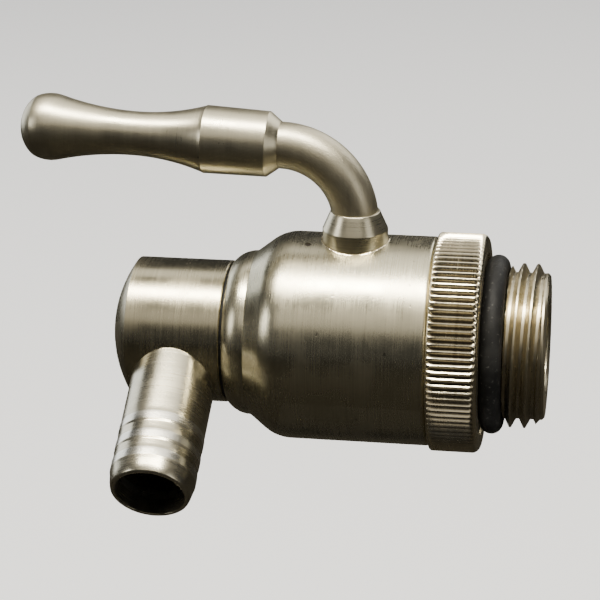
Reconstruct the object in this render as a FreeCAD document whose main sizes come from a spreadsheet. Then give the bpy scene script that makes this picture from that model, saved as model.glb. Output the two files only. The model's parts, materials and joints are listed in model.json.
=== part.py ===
import FreeCAD, Part
import math
import os
import re
import Sketcher
from FreeCAD import Placement, Rotation, Vector

# Quarter-turn tap for a kettle, fermenter or tank. A thread and an O-ring seal it in the tank wall,
# a ball driven by a lever opens it, and a domed head with a hose tail swivels on its front.
#
# Every outline is drawn about the centre of the ball: X is the line of flow, negative to the front,
# and Z is the spindle. Each sub-part is then moved so that the origin is the centre of the face that
# seats on the tank wall, with the tank on the +X side.

SIZES = {
    # places and clearances
    "seat_to_spindle": 16.7,
    "slack": 0.03,
    "rest_swing": 60.0,
    # body shell, outside
    "body_rad": 13.4,
    "body_rear": 10.35,
    "rear_round": 0.6,
    "dome_end": 7.5,
    "dome_rad": 5.43,
    "cone_top": 10.9,
    "cone_top_rad": 12.25,
    "cone_foot": 12.85,
    "cone_foot_rad": 10.75,
    "neck_rad": 10.65,
    "neck_end": 13.1,
    "neck_round": 3.58,
    "body_front": 15.9,
    "face_rad": 9.3,
    # body shell, inside
    "chamber_rad": 8.1,
    "chamber_half": 7.6,
    "port_rad": 5.2,
    "socket_rad": 6.3,
    "socket_end": 8.9,
    "socket_chamfer": 0.4,
    "ring_recess_rad": 7.35,
    "ring_recess_near": 10.0,
    "ring_recess_far": 11.4,
    "tail_bore_rad": 10.05,
    "tail_bore_end": 5.6,
    "stem_hole_rad": 4.2,
    "stem_pocket_rad": 5.0,
    "stem_ceiling": 9.9,
    "stem_hole_edge": 0.3,
    "punch_rad": 0.45,
    "punch_depth": 0.4,
    "punch_x": 5.7,
    "punch_y": 2.4,
    # threaded tail
    "plug_rad": 10.0,
    "plug_chamfer": 0.4,
    "plug_groove_near": 8.6,
    "plug_groove_far": 10.1,
    "plug_groove_rad": 8.6,
    "flange_rad": 14.0,
    "flange_front_round": 0.35,
    "flange_rear_round": 1.0,
    "recess_rad": 11.6,
    "recess_depth": 0.4,
    "seal_neck_rad": 8.55,
    "thread_start": 19.45,
    "thread_major": 10.4775,
    "thread_root": 9.3155,
    "thread_pitch": 1.814,
    "first_crest": 20.3,
    "crest_half": 0.12,
    "flank_deg": 27.5,
    "lead_crest_rad": 9.75,
    "tail_end": 24.65,
    "tail_chamfer": 0.3,
    "inlet_rad": 6.0,
    "inlet_taper_end": 11.0,
    "bore_rad": 4.5,
    "throat_end": 9.0,
    # ball and seats
    "ball_rad": 7.5,
    "slot_width": 2.6,
    "slot_floor": 5.6,
    "seat_near": 4.6,
    "seat_rad": 8.0,
    # spindle and its fittings
    "spindle_rad": 4.15,
    "spindle_flange_rad": 4.8,
    "spindle_flange_low": 8.15,
    "spindle_flange_top": 9.45,
    "notch_rad": 4.0,
    "notch_start": 82.5,
    "notch_end": 187.5,
    "tang_width": 2.5,
    "tang_length": 6.4,
    "tang_low": 5.7,
    "stem_groove_rad": 3.3,
    "stem_groove_width": 0.9,
    "lower_groove": 10.65,
    "upper_groove": 11.85,
    "stem_seal_thick": 0.84,
    "collar_edge": 14.85,
    "collar_top": 17.2,
    "collar_top_rad": 3.12,
    "washer_top": 9.87,
    "pin_rad": 0.5,
    "pin_level": 8.8,
    "pin_near": 4.1,
    "pin_far": 9.9,
    # lever
    "rod_rad": 2.95,
    "rod_end_rad": 2.0,
    "rod_socket_rad": 2.15,
    "rod_foot": 13.3,
    "rod_bend_low": 15.87,
    "rod_bend_rad": 9.5,
    "lever_rise": 2.6,
    "grip_start": 9.5,
    "rod_grip_depth": 14.0,
    "grip_length": 33.3,
    "grip_cone": 1.46,
    "grip_cone_rad": 4.13,
    "grip_edge": 9.55,
    "grip_edge_rad": 4.3,
    "waist_place": 18.5,
    "waist_rad": 2.8,
    "waist_front_arc": 27.45,
    "waist_rear_arc": 36.8,
    "knob_start": 28.2,
    "knob_start_rad": 4.09,
    "knob_shoulder": 31.5,
    "knob_shoulder_rad": 3.82,
    "knob_side_arc": 4.6,
    "knob_end_arc": 4.25,
    # swivel head and its fittings
    "head_rad": 9.2,
    "head_front": 28.4,
    "head_rear": 16.25,
    "dome_height": 2.95,
    "spigot_rad": 6.25,
    "spigot_end": 9.1,
    "spigot_chamfer": 0.3,
    "seal_groove_rad": 5.0,
    "seal_groove_width": 1.5,
    "front_groove": 14.55,
    "rear_groove": 12.55,
    "swivel_seal_thick": 1.22,
    "ring_groove_near": 10.1,
    "ring_groove_far": 11.3,
    "ring_groove_rad": 5.45,
    "head_bore_end": 26.0,
    "ring_inner_rad": 5.5,
    "ring_outer_rad": 7.2,
    "ring_gap": 3.0,
    "washer_rad": 8.7,
    # hose tail
    "spout_place": 22.45,
    "spout_rad": 5.4,
    "spout_root_rad": 5.2,
    "spout_root_end": 9.25,
    "spout_bore_rad": 4.4,
    "spout_seat": 5.0,
    "spout_tip": 26.2,
    "first_barb": 17.8,
    "barb_pitch": 2.75,
    "barb_half": 0.6,
    "barb_slope": 0.3,
    "barb_waist_rad": 5.22,
    "lip_rad": 5.1,
    "lip_start": 25.4,
    "lip_face_rad": 4.75,
    "lip_round": 0.9,
    # seals on the tank side
    "tank_seal_rad": 10.0,
    "tank_seal_thick": 2.86,
    "tank_seal_place": 18.0,
    "tail_seal_thick": 1.36,
}

BARB_COUNT = 3
CREST_COUNT = 3

document = FreeCAD.newDocument("kettle_tap")
sheet = document.addObject("Spreadsheet::Sheet", "Sizes")
for row, (alias, size) in enumerate(SIZES.items(), start=1):
    sheet.set("A%d" % row, alias)
    sheet.set("B%d" % row, str(size))
    sheet.setAlias("B%d" % row, alias)
document.recompute()


# ---------------------------------------------------------------- helpers

def formula(text):
    """Turn size names in a formula into references to the sheet."""
    return re.sub(r"[a-z][a-z_]+", lambda word: cell_or_word(word.group(0)), str(text))


def cell_or_word(word):
    return "Sizes." + word if word in SIZES else word


def number(text):
    """Value of a formula at the present sizes."""
    return float(sheet.evalExpression(formula(text)))


def bind(thing, prop, text):
    thing.setExpression(prop, formula(text))


def new_body(name):
    body = document.addObject("PartDesign::Body", name)
    body.Label = name
    return body


def new_sketch(body, name, role, lift="0"):
    """Sketch on one of the body's own origin planes, lifted along the plane's normal."""
    sketch = body.newObject("Sketcher::SketchObject", name)
    plane = [item for item in body.Origin.OriginFeatures if item.Role == role][0]
    sketch.AttachmentSupport = (plane, [""])
    sketch.MapMode = "FlatFace"
    bind(sketch, "AttachmentOffset.Base.z", lift)
    return sketch


def arc_edge(start, end, radius, turn):
    """Arc of under half a turn between two points; turn is 1 to the left and -1 to the right."""
    middle = (start + end) * 0.5
    along = end - start
    half = along.Length / 2
    offset = math.sqrt(max(radius * radius - half * half, 0.0))
    side = Vector(-along.y, along.x, 0).normalize()
    centre = middle + side * offset * turn
    first, last = (start, end) if turn > 0 else (end, start)
    begin = math.atan2(first.y - centre.y, first.x - centre.x)
    finish = math.atan2(last.y - centre.y, last.x - centre.x)
    if finish < begin:
        finish += 2 * math.pi
    return Part.ArcOfCircle(Part.Circle(centre, Vector(0, 0, 1), radius), begin, finish)


def outline(sketch, corners):
    """Closed outline bound to the sheet.

    A corner is (x, y), or (x, y, radius, turn) where the edge that leaves it is an arc.
    """
    places = [Vector(number(corner[0]), number(corner[1]), 0) for corner in corners]
    edges = []
    for index, corner in enumerate(corners):
        start = places[index]
        end = places[(index + 1) % len(places)]
        if len(corner) == 2:
            shape = Part.LineSegment(start, end)
            turn = 1
        else:
            turn = corner[3]
            shape = arc_edge(start, end, number(corner[2]), turn)
        edges.append((sketch.addGeometry(shape, False), turn))
    for index, corner in enumerate(corners):
        edge, turn = edges[index]
        following, next_turn = edges[(index + 1) % len(edges)]
        start_point, end_point = (1, 2) if turn > 0 else (2, 1)
        next_point = 1 if next_turn > 0 else 2
        sketch.addConstraint(Sketcher.Constraint("Coincident", edge, end_point, following, next_point))
        place_point(sketch, edge, start_point, corner[0], corner[1])
        if len(corner) == 4:
            rule = Sketcher.Constraint("Radius", edge, number(corner[2]))
            fix_size(sketch, sketch.addConstraint(rule), corner[2])


def place_point(sketch, edge, point, x_text, y_text):
    for kind, text in (("DistanceX", x_text), ("DistanceY", y_text)):
        rule = Sketcher.Constraint(kind, -1, 1, edge, point, number(text))
        fix_size(sketch, sketch.addConstraint(rule), text)


def fix_size(sketch, index, text):
    bind(sketch, "Constraints[%d]" % index, text)


def circle(sketch, x_text, y_text, radius):
    centre = Vector(number(x_text), number(y_text), 0)
    edge = sketch.addGeometry(Part.Circle(centre, Vector(0, 0, 1), number(radius)), False)
    place_point(sketch, edge, 3, x_text, y_text)
    rule = Sketcher.Constraint("Radius", edge, number(radius))
    fix_size(sketch, sketch.addConstraint(rule), radius)


def revolve(body, name, corners, axis="H_Axis", kind="PartDesign::Revolution"):
    """Turn an outline of the XZ plane about X (H_Axis) or Z (V_Axis)."""
    sketch = new_sketch(body, name + "_outline", "XZ_Plane")
    outline(sketch, corners)
    feature = body.newObject(kind, name)
    feature.Profile = sketch
    feature.ReferenceAxis = (sketch, [axis])
    feature.Angle = 360
    return feature


def turn_away(body, name, corners, axis="H_Axis"):
    """Cut an outline turned about an axis out of the body."""
    return revolve(body, name, corners, axis, "PartDesign::Groove")


def pad(body, name, sketch, length):
    feature = body.newObject("PartDesign::Pad", name)
    feature.Profile = sketch
    bind(feature, "Length", length)
    return feature


def pocket(body, name, sketch, length, upward):
    """Cut a sketch of an origin plane along the plane's normal, or against it."""
    feature = body.newObject("PartDesign::Pocket", name)
    feature.Profile = sketch
    bind(feature, "Length", length)
    feature.Reversed = upward
    return feature


def put_in_place(part, x_text="0", y_text="0", z_text="0", axis=None, degrees="0"):
    """Place a sub-part: its own x, y and z, with X counted from the tank seat."""
    if axis is not None:
        part.Placement = Placement(Vector(0, 0, 0), Rotation(axis, number(degrees)))
        bind(part, "Placement.Rotation.Angle", degrees)
    bind(part, "Placement.Base.x", "(" + x_text + ") - seat_to_spindle")
    bind(part, "Placement.Base.y", y_text)
    bind(part, "Placement.Base.z", z_text)


def primitive(kind, name, **sizes):
    part = document.addObject(kind, name)
    for prop, text in sizes.items():
        bind(part, prop, text)
    return part


def cut(name, base, tool):
    part = document.addObject("Part::Cut", name)
    part.Base = base
    part.Tool = tool
    part.Label = name
    return part


ALONG_X = Rotation(Vector(0, 1, 0), 90)


def lying_cylinder(name, radius, near, length):
    """Cylinder about the line of flow, from near, towards the tank."""
    part = primitive("Part::Cylinder", name, Radius=radius, Height=length)
    part.Placement = Placement(Vector(0, 0, 0), ALONG_X)
    bind(part, "Placement.Base.x", near)
    return part


def seal_ring(name, middle_rad, thick, place, lying):
    """O-ring of round section, about X where it lies in the flow line, else about Z."""
    part = primitive("Part::Torus", name, Radius1=middle_rad, Radius2="(%s) / 2" % thick)
    part.Label = name
    if lying:
        part.Placement = Placement(Vector(0, 0, 0), ALONG_X)
        bind(part, "Placement.Base.x", "(%s) - seat_to_spindle" % place)
    else:
        bind(part, "Placement.Base.x", "-seat_to_spindle")
        bind(part, "Placement.Base.z", place)
    return part


# ---------------------------------------------------------------- body and tail

def make_body_shell():
    body = new_body("body_shell")
    revolve(body, "shell_turning", [
        ("-body_front", "socket_rad + socket_chamfer"),
        ("-body_front", "face_rad", "neck_round", -1),
        ("-neck_end", "neck_rad"),
        ("-cone_foot", "neck_rad"),
        ("-cone_foot", "cone_foot_rad"),
        ("-cone_top", "cone_top_rad", "dome_rad", -1),
        ("-dome_end", "body_rad"),
        ("body_rear - rear_round", "body_rad", "rear_round", -1),
        ("body_rear", "body_rad - rear_round"),
        ("body_rear", "tail_bore_rad"),
        ("tail_bore_end", "tail_bore_rad"),
        ("tail_bore_end", "chamber_rad"),
        ("-chamber_half", "chamber_rad"),
        ("-chamber_half", "port_rad"),
        ("-socket_end", "port_rad"),
        ("-socket_end", "socket_rad"),
        ("-ring_recess_near", "socket_rad"),
        ("-ring_recess_near", "ring_recess_rad"),
        ("-ring_recess_far", "ring_recess_rad"),
        ("-ring_recess_far", "socket_rad"),
        ("socket_chamfer - body_front", "socket_rad"),
    ])
    hole = new_sketch(body, "stem_hole_circle", "XY_Plane")
    circle(hole, "0", "0", "stem_hole_rad")
    pocket(body, "stem_hole", hole, "body_rad + 1", True)
    seat = new_sketch(body, "stem_pocket_circle", "XY_Plane")
    circle(seat, "0", "0", "stem_pocket_rad")
    pocket(body, "stem_pocket", seat, "stem_ceiling", True)
    document.recompute()
    edge = stem_hole_rim(body)
    if edge is None:
        raise RuntimeError("the rim of the stem hole was not found")
    rim = body.newObject("PartDesign::Chamfer", "stem_hole_chamfer")
    rim.Base = (body.getObject("stem_pocket"), [edge])
    bind(rim, "Size", "stem_hole_edge")
    pin = new_sketch(body, "stop_pin_circle", "XZ_Plane")
    circle(pin, "0", "pin_level", "pin_rad")
    pocket(body, "stop_pin_hole", pin, "body_rad", False)
    mark = new_sketch(body, "punch_mark_circle", "XY_Plane", "sqrt(body_rad ^ 2 - punch_y ^ 2) - punch_depth")
    circle(mark, "-punch_x", "-punch_y", "punch_rad")
    pocket(body, "punch_mark", mark, "punch_depth * 3", True)
    put_in_place(body)
    return body


def stem_hole_rim(body):
    """Name of the edge where the stem hole leaves the top of the body."""
    shape = body.getObject("stem_pocket").Shape
    radius = number("stem_hole_rad")
    for index, edge in enumerate(shape.Edges, start=1):
        box = edge.BoundBox
        high = box.ZMin > number("body_rad") - 2
        wide = abs(box.XMax - radius) < 0.05 and abs(box.XMin + radius) < 0.05
        if high and wide:
            return "Edge%d" % index
    return None


def thread_corners():
    """Crests of the pipe thread, drawn as rings at the thread's pitch; the leading one is cut low."""
    corners = []
    for crest in range(CREST_COUNT):
        last = crest == CREST_COUNT - 1
        height = "lead_crest_rad" if last else "thread_major"
        middle = "(first_crest + thread_pitch * %d)" % crest
        foot = "(crest_half + (%s - thread_root) * tan(flank_deg))" % height
        corners += [
            ("%s - %s" % (middle, foot), "thread_root"),
            ("%s - crest_half" % middle, height),
            ("%s + crest_half" % middle, height),
            ("%s + %s" % (middle, foot), "thread_root"),
        ]
    return corners


def make_threaded_tail():
    body = new_body("threaded_tail")
    corners = [
        ("tail_bore_end + slack", "seat_rad + slack"),
        ("tail_bore_end + slack", "plug_rad - plug_chamfer"),
        ("tail_bore_end + slack + plug_chamfer", "plug_rad"),
        ("plug_groove_near", "plug_rad"),
        ("plug_groove_near", "plug_groove_rad"),
        ("plug_groove_far", "plug_groove_rad"),
        ("plug_groove_far", "plug_rad"),
        ("body_rear", "plug_rad"),
        ("body_rear", "flange_rad - flange_front_round", "flange_front_round", -1),
        ("body_rear + flange_front_round", "flange_rad"),
        ("seat_to_spindle - flange_rear_round", "flange_rad", "flange_rear_round", -1),
        ("seat_to_spindle", "flange_rad - flange_rear_round"),
        ("seat_to_spindle", "recess_rad"),
        ("seat_to_spindle - recess_depth", "recess_rad"),
        ("seat_to_spindle - recess_depth", "seal_neck_rad"),
        ("thread_start", "seal_neck_rad"),
        ("thread_start", "thread_root"),
    ]
    corners += thread_corners()
    corners += [
        ("tail_end - tail_chamfer", "thread_root"),
        ("tail_end", "thread_root - tail_chamfer"),
        ("tail_end", "inlet_rad + tail_chamfer"),
        ("tail_end - tail_chamfer", "inlet_rad"),
        ("inlet_taper_end", "inlet_rad"),
        ("throat_end", "bore_rad"),
        ("chamber_half", "bore_rad"),
        ("chamber_half", "seat_rad + slack"),
    ]
    revolve(body, "tail_turning", corners)
    put_in_place(body)
    return body


def make_tank_seals():
    tank = seal_ring("tank_seal_ring", "tank_seal_rad", "tank_seal_thick", "tank_seal_place", True)
    middle = "plug_groove_rad + slack + tail_seal_thick / 2"
    place = "(plug_groove_near + plug_groove_far) / 2"
    tail = seal_ring("tail_seal_ring", middle, "tail_seal_thick", place, True)
    return [tank, tail]


# ---------------------------------------------------------------- ball, seats and stop

def make_seat(name, side):
    """PTFE ring with a hollow face that fits the ball; side is "-" in front and "" behind."""
    body = new_body(name)
    hollow = "(ball_rad + slack)"
    turn = 1 if side == "-" else -1
    revolve(body, name + "_turning", [
        (side + "chamber_half", "bore_rad"),
        (side + "chamber_half", "seat_rad"),
        (side + "seat_near", "seat_rad"),
        (side + "seat_near", "sqrt(%s ^ 2 - seat_near ^ 2)" % hollow, hollow, turn),
        (side + "sqrt(%s ^ 2 - bore_rad ^ 2)" % hollow, "bore_rad"),
    ])
    put_in_place(body)
    return body


def make_ball():
    sphere = primitive("Part::Sphere", "ball_blank", Radius="ball_rad")
    bore = lying_cylinder("ball_bore", "bore_rad", "-ball_rad", "ball_rad * 2")
    slot = primitive("Part::Box", "ball_slot", Length="slot_width", Width="ball_rad * 2", Height="ball_rad")
    bind(slot, "Placement.Base.x", "-slot_width / 2")
    bind(slot, "Placement.Base.y", "-ball_rad")
    bind(slot, "Placement.Base.z", "slot_floor")
    bored = cut("ball_bored", sphere, bore)
    ball = cut("ball", bored, slot)
    put_in_place(ball)
    return ball


def make_stop_pin():
    pin = primitive("Part::Cylinder", "stop_pin", Radius="pin_rad", Height="pin_far - pin_near")
    pin.Label = "stop_pin"
    put_in_place(pin, "0", "pin_near", "pin_level", Vector(1, 0, 0), "-90")
    return pin


# ---------------------------------------------------------------- lever

def make_spindle():
    body = new_body("spindle")
    corners = [
        ("0", "spindle_flange_low"),
        ("spindle_flange_rad", "spindle_flange_low"),
        ("spindle_flange_rad", "spindle_flange_top"),
        ("spindle_rad", "spindle_flange_top"),
    ]
    for groove in ("lower_groove", "upper_groove"):
        low = groove + " - stem_groove_width / 2"
        high = groove + " + stem_groove_width / 2"
        corners += [
            ("spindle_rad", low),
            ("stem_groove_rad", low),
            ("stem_groove_rad", high),
            ("spindle_rad", high),
        ]
    corners += [
        ("spindle_rad", "collar_edge"),
        ("collar_top_rad", "collar_top"),
        ("rod_socket_rad", "collar_top"),
        ("rod_socket_rad", "rod_foot - 0.2"),
        ("0", "rod_foot - 0.2"),
    ]
    revolve(body, "spindle_turning", corners, "V_Axis")
    tang = new_sketch(body, "tang_section", "XY_Plane", "tang_low")
    outline(tang, [
        ("-tang_width / 2", "-tang_length / 2"),
        ("tang_width / 2", "-tang_length / 2"),
        ("tang_width / 2", "tang_length / 2"),
        ("-tang_width / 2", "tang_length / 2"),
    ])
    pad(body, "tang", tang, "spindle_flange_low - tang_low + slack")
    notch = new_sketch(body, "stop_notch_section", "XY_Plane", "spindle_flange_low - 0.1")
    inner = "notch_rad"
    outer = "(spindle_flange_rad + 0.4)"
    outline(notch, [
        (inner + " * cos(notch_start)", inner + " * sin(notch_start)", inner, 1),
        (inner + " * cos(notch_end)", inner + " * sin(notch_end)"),
        (outer + " * cos(notch_end)", outer + " * sin(notch_end)", outer, -1),
        (outer + " * cos(notch_start)", outer + " * sin(notch_start)"),
    ])
    depth = "spindle_flange_top - spindle_flange_low + 0.1"
    pocket(body, "stop_notch", notch, depth, True)
    put_in_place(body)
    return body


def make_spindle_fittings():
    middle = "stem_groove_rad + slack / 3 + stem_seal_thick / 2"
    lower = seal_ring("spindle_seal_lower", middle, "stem_seal_thick", "lower_groove", False)
    upper = seal_ring("spindle_seal_upper", middle, "stem_seal_thick", "upper_groove", False)
    thick = "washer_top - spindle_flange_top"
    disc = primitive("Part::Cylinder", "thrust_disc", Radius="stem_pocket_rad - slack * 2", Height=thick)
    hole = primitive("Part::Cylinder", "thrust_hole", Radius="spindle_rad + slack", Height=thick)
    washer = cut("spindle_thrust_washer", disc, hole)
    put_in_place(washer, z_text="spindle_flange_top")
    return [lower, upper, washer]


BEND = "(90 - lever_rise)"
BEND_X = "(rod_bend_rad * (1 - cos(%s)))" % BEND
BEND_Z = "(rod_bend_low + rod_bend_rad * sin(%s))" % BEND
GRIP_Z = "(%s + (grip_start - %s) * tan(lever_rise))" % (BEND_Z, BEND_X)


def rod_path(body, name, foot, beyond):
    """Upright run, one bend and a run into the grip, as an open wire of the XZ plane."""
    sketch = new_sketch(body, name, "XZ_Plane")
    bend_low = Vector(0, number("rod_bend_low"), 0)
    bend_high = Vector(-number(BEND_X), number(BEND_Z), 0)
    end_x = "-(grip_start + (%s) * cos(lever_rise))" % beyond
    end_z = "%s + (%s) * sin(lever_rise)" % (GRIP_Z, beyond)
    end = Vector(number(end_x), number(end_z), 0)
    arc = sketch.addGeometry(arc_edge(bend_low, bend_high, number("rod_bend_rad"), 1), False)
    run = sketch.addGeometry(Part.LineSegment(bend_high, end), False)
    place_point(sketch, arc, 1, "0", "rod_bend_low")
    place_point(sketch, arc, 2, "-" + BEND_X, BEND_Z)
    rule = Sketcher.Constraint("Radius", arc, number("rod_bend_rad"))
    fix_size(sketch, sketch.addConstraint(rule), "rod_bend_rad")
    sketch.addConstraint(Sketcher.Constraint("Coincident", arc, 2, run, 1))
    place_point(sketch, run, 2, end_x, end_z)
    if foot != "rod_bend_low":
        low = Vector(0, number(foot), 0)
        upright = sketch.addGeometry(Part.LineSegment(low, bend_low), False)
        sketch.addConstraint(Sketcher.Constraint("Coincident", upright, 2, arc, 1))
        place_point(sketch, upright, 1, "0", foot)
    return sketch


def rod_run(body, name, radius, foot, beyond):
    path = rod_path(body, name + "_path", foot, beyond)
    section = new_sketch(body, name + "_section", "XY_Plane", foot)
    circle(section, "0", "0", radius)
    pipe = body.newObject("PartDesign::AdditivePipe", name)
    pipe.Profile = section
    pipe.Spine = path
    return pipe


def make_lever_rod():
    body = new_body("lever_rod")
    rod_run(body, "rod", "rod_rad", "rod_bend_low", "0")
    rod_run(body, "rod_ends", "rod_end_rad", "rod_foot", "rod_grip_depth")
    document.recompute()
    turn_away(body, "rod_shoulder", [
        ("rod_end_rad", "rod_bend_low - 0.5"),
        ("rod_rad + 1", "rod_bend_low - 0.5"),
        ("rod_rad + 1", "collar_top"),
        ("rod_end_rad", "collar_top"),
    ], "V_Axis")
    put_in_place(body)
    return body


def make_lever_grip():
    body = new_body("lever_grip")
    revolve(body, "grip_turning", [
        ("0", "rod_end_rad + slack"),
        ("0", "rod_rad + slack"),
        ("grip_cone", "grip_cone_rad"),
        ("grip_edge", "grip_edge_rad"),
        ("grip_edge + 0.05", "grip_edge_rad - 0.02", "waist_front_arc", 1),
        ("waist_place", "waist_rad", "waist_rear_arc", 1),
        ("knob_start", "knob_start_rad", "knob_side_arc", -1),
        ("knob_shoulder", "knob_shoulder_rad", "knob_end_arc", -1),
        ("grip_length", "0"),
        ("rod_grip_depth + 0.3", "0"),
        ("rod_grip_depth + 0.3", "rod_end_rad + slack"),
    ])
    put_in_place(body, "-grip_start", "0", GRIP_Z, Vector(0, 1, 0), "180 + lever_rise")
    return body


# ---------------------------------------------------------------- swivel head and hose tail

def groove_corners(place, width, root):
    near = "-(%s - (%s) / 2)" % (place, width)
    far = "-(%s + (%s) / 2)" % (place, width)
    return [(far, "spigot_rad"), (far, root), (near, root), (near, "spigot_rad")]


def make_spout_head():
    """Domed head with its spigot. It is drawn with the hose tail straight down."""
    body = new_body("spout_head")
    dome_arc = "((head_rad ^ 2 + dome_height ^ 2) / (2 * dome_height))"
    corners = [
        ("-(head_front + dome_height)", "0", dome_arc, -1),
        ("-head_front", "head_rad"),
        ("-head_rear - 0.15", "head_rad"),
        ("-head_rear", "head_rad - 0.15"),
        ("-head_rear", "spigot_rad"),
    ]
    corners += groove_corners("front_groove", "seal_groove_width", "seal_groove_rad")
    corners += groove_corners("rear_groove", "seal_groove_width", "seal_groove_rad")
    ring_place = "(ring_groove_near + ring_groove_far) / 2"
    corners += groove_corners(ring_place, "ring_groove_far - ring_groove_near", "ring_groove_rad")
    corners += [
        ("-spigot_end - spigot_chamfer", "spigot_rad"),
        ("-spigot_end", "spigot_rad - spigot_chamfer"),
        ("-spigot_end", "bore_rad"),
        ("-head_bore_end", "bore_rad"),
        ("-head_bore_end", "0"),
    ]
    revolve(body, "head_turning", corners)
    seat = new_sketch(body, "spout_seat_circle", "XY_Plane", "-spout_seat")
    circle(seat, "-spout_place", "0", "spout_root_rad + slack")
    pocket(body, "spout_seat_bore", seat, "head_rad", False)
    port = new_sketch(body, "spout_port_circle", "XY_Plane")
    circle(port, "-spout_place", "0", "spout_bore_rad")
    pocket(body, "spout_port", port, "head_rad", False)
    put_in_place(body, axis=Vector(1, 0, 0), degrees="-rest_swing")
    return body


def make_spout_tube():
    """Hose tail, drawn straight down from the line of flow, with shallow barbs near its tip."""
    body = new_body("spout_tube")
    corners = [
        ("spout_bore_rad", "-spout_seat"),
        ("spout_root_rad", "-spout_seat"),
        ("spout_root_rad", "-spout_root_end"),
        ("spout_rad", "-spout_root_end"),
    ]
    for barb in range(BARB_COUNT):
        middle = "(first_barb + barb_pitch * %d)" % barb
        if barb > 0:
            corners += [
                ("barb_waist_rad", "-(%s - barb_half - barb_slope)" % middle),
                ("spout_rad", "-(%s - barb_half)" % middle),
            ]
        corners += [
            ("spout_rad", "-(%s + barb_half)" % middle),
            ("barb_waist_rad", "-(%s + barb_half + barb_slope)" % middle),
        ]
    corners += [
        ("lip_rad", "-lip_start", "lip_round", -1),
        ("lip_face_rad", "-spout_tip"),
        ("spout_bore_rad", "-spout_tip"),
    ]
    revolve(body, "spout_turning", corners, "V_Axis")
    put_in_place(body, "-spout_place", axis=Vector(1, 0, 0), degrees="-rest_swing")
    return body


def make_retaining_ring():
    """Snap ring, open at the top, that holds the spigot in the body."""
    near = "-ring_groove_far + slack"
    thick = "ring_groove_far - ring_groove_near - slack * 2"
    disc = lying_cylinder("ring_disc", "ring_outer_rad", near, thick)
    hole = lying_cylinder("ring_hole", "ring_inner_rad", near, thick)
    gap = primitive("Part::Box", "ring_gap_box", Length=thick, Width="ring_gap", Height="ring_outer_rad")
    bind(gap, "Placement.Base.x", near)
    bind(gap, "Placement.Base.y", "-ring_gap / 2")
    ring = cut("retaining_ring", cut("ring_closed", disc, hole), gap)
    put_in_place(ring)
    return ring


def make_swivel_fittings():
    middle = "seal_groove_rad + slack / 2 + swivel_seal_thick / 2"
    front = seal_ring("swivel_seal_front", middle, "swivel_seal_thick", "-front_groove", True)
    rear = seal_ring("swivel_seal_rear", middle, "swivel_seal_thick", "-rear_groove", True)
    thick = "head_rear - body_front - slack"
    disc = lying_cylinder("slide_disc", "washer_rad", "-head_rear", thick)
    hole = lying_cylinder("slide_hole", "spigot_rad + slack", "-head_rear", thick)
    washer = cut("swivel_slide_washer", disc, hole)
    put_in_place(washer)
    return [front, rear, washer]


# ---------------------------------------------------------------- build, check and write

def build_all():
    parts = [make_body_shell(), make_threaded_tail()]
    parts += make_tank_seals()
    parts += [make_seat("front_seat", "-"), make_seat("rear_seat", ""), make_ball(), make_stop_pin()]
    parts += [make_spindle()]
    parts += make_spindle_fittings()
    parts += [make_lever_rod(), make_lever_grip()]
    parts += [make_spout_head(), make_spout_tube(), make_retaining_ring()]
    parts += make_swivel_fittings()
    return parts


def check_all(parts):
    """Stop before anything is written if a feature or a shape has failed."""
    for item in document.Objects:
        if "Invalid" in item.State or "Error" in item.State:
            raise RuntimeError("%s failed: %s" % (item.Name, item.State))
    for part in parts:
        shape = part.Shape
        if shape.isNull() or not shape.isValid() or len(shape.Solids) != 1:
            raise RuntimeError("%s has no single valid solid" % part.Label)


def write_all(parts):
    os.makedirs("parts", exist_ok=True)
    for part in parts:
        part.Shape.exportStep("parts/%s.step" % part.Label)
        print("%-22s %9.2f mm3" % (part.Label, part.Shape.Volume))


PARTS = build_all()
document.recompute()
check_all(PARTS)
write_all(PARTS)
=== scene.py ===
import json
import math

import bmesh
import bpy
import numpy as np
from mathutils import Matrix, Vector


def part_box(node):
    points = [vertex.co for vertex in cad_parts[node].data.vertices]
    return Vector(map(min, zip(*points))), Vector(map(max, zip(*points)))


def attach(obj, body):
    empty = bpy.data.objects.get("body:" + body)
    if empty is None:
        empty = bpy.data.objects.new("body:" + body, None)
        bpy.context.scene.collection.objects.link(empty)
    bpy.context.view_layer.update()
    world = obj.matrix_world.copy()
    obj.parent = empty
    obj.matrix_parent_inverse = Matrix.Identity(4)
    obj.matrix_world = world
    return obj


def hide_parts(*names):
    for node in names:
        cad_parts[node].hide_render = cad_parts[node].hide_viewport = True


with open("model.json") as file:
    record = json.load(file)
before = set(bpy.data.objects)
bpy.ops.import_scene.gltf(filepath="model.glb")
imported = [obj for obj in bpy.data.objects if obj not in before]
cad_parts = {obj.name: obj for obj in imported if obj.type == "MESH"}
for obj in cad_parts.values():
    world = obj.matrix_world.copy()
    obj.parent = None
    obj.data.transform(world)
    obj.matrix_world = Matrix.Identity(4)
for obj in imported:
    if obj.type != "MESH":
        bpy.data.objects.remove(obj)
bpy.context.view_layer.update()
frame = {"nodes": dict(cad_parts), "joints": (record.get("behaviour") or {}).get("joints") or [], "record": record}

# ---------------------------------------------------------------- places, from the frame

MM = 0.001
JOINTS = {joint["name"]: joint for joint in frame["joints"]}
MOUNTS = {mount["name"]: mount for mount in frame["record"]["mounts"]}
BALL_CENTRE = Vector(JOINTS["lever_turn"]["pos_m"])
SPOUT_AXIS = Vector(MOUNTS["hose_tail"]["axis"]).normalized()
SPOUT_POINT = Vector(MOUNTS["hose_tail"]["pos_m"])
SPOUT_ROOT = Vector((SPOUT_POINT.x, 0.0, 0.0))
ALONG_FLOW = Vector((1.0, 0.0, 0.0))
UPRIGHT = Vector((0.0, 0.0, 1.0))

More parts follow.
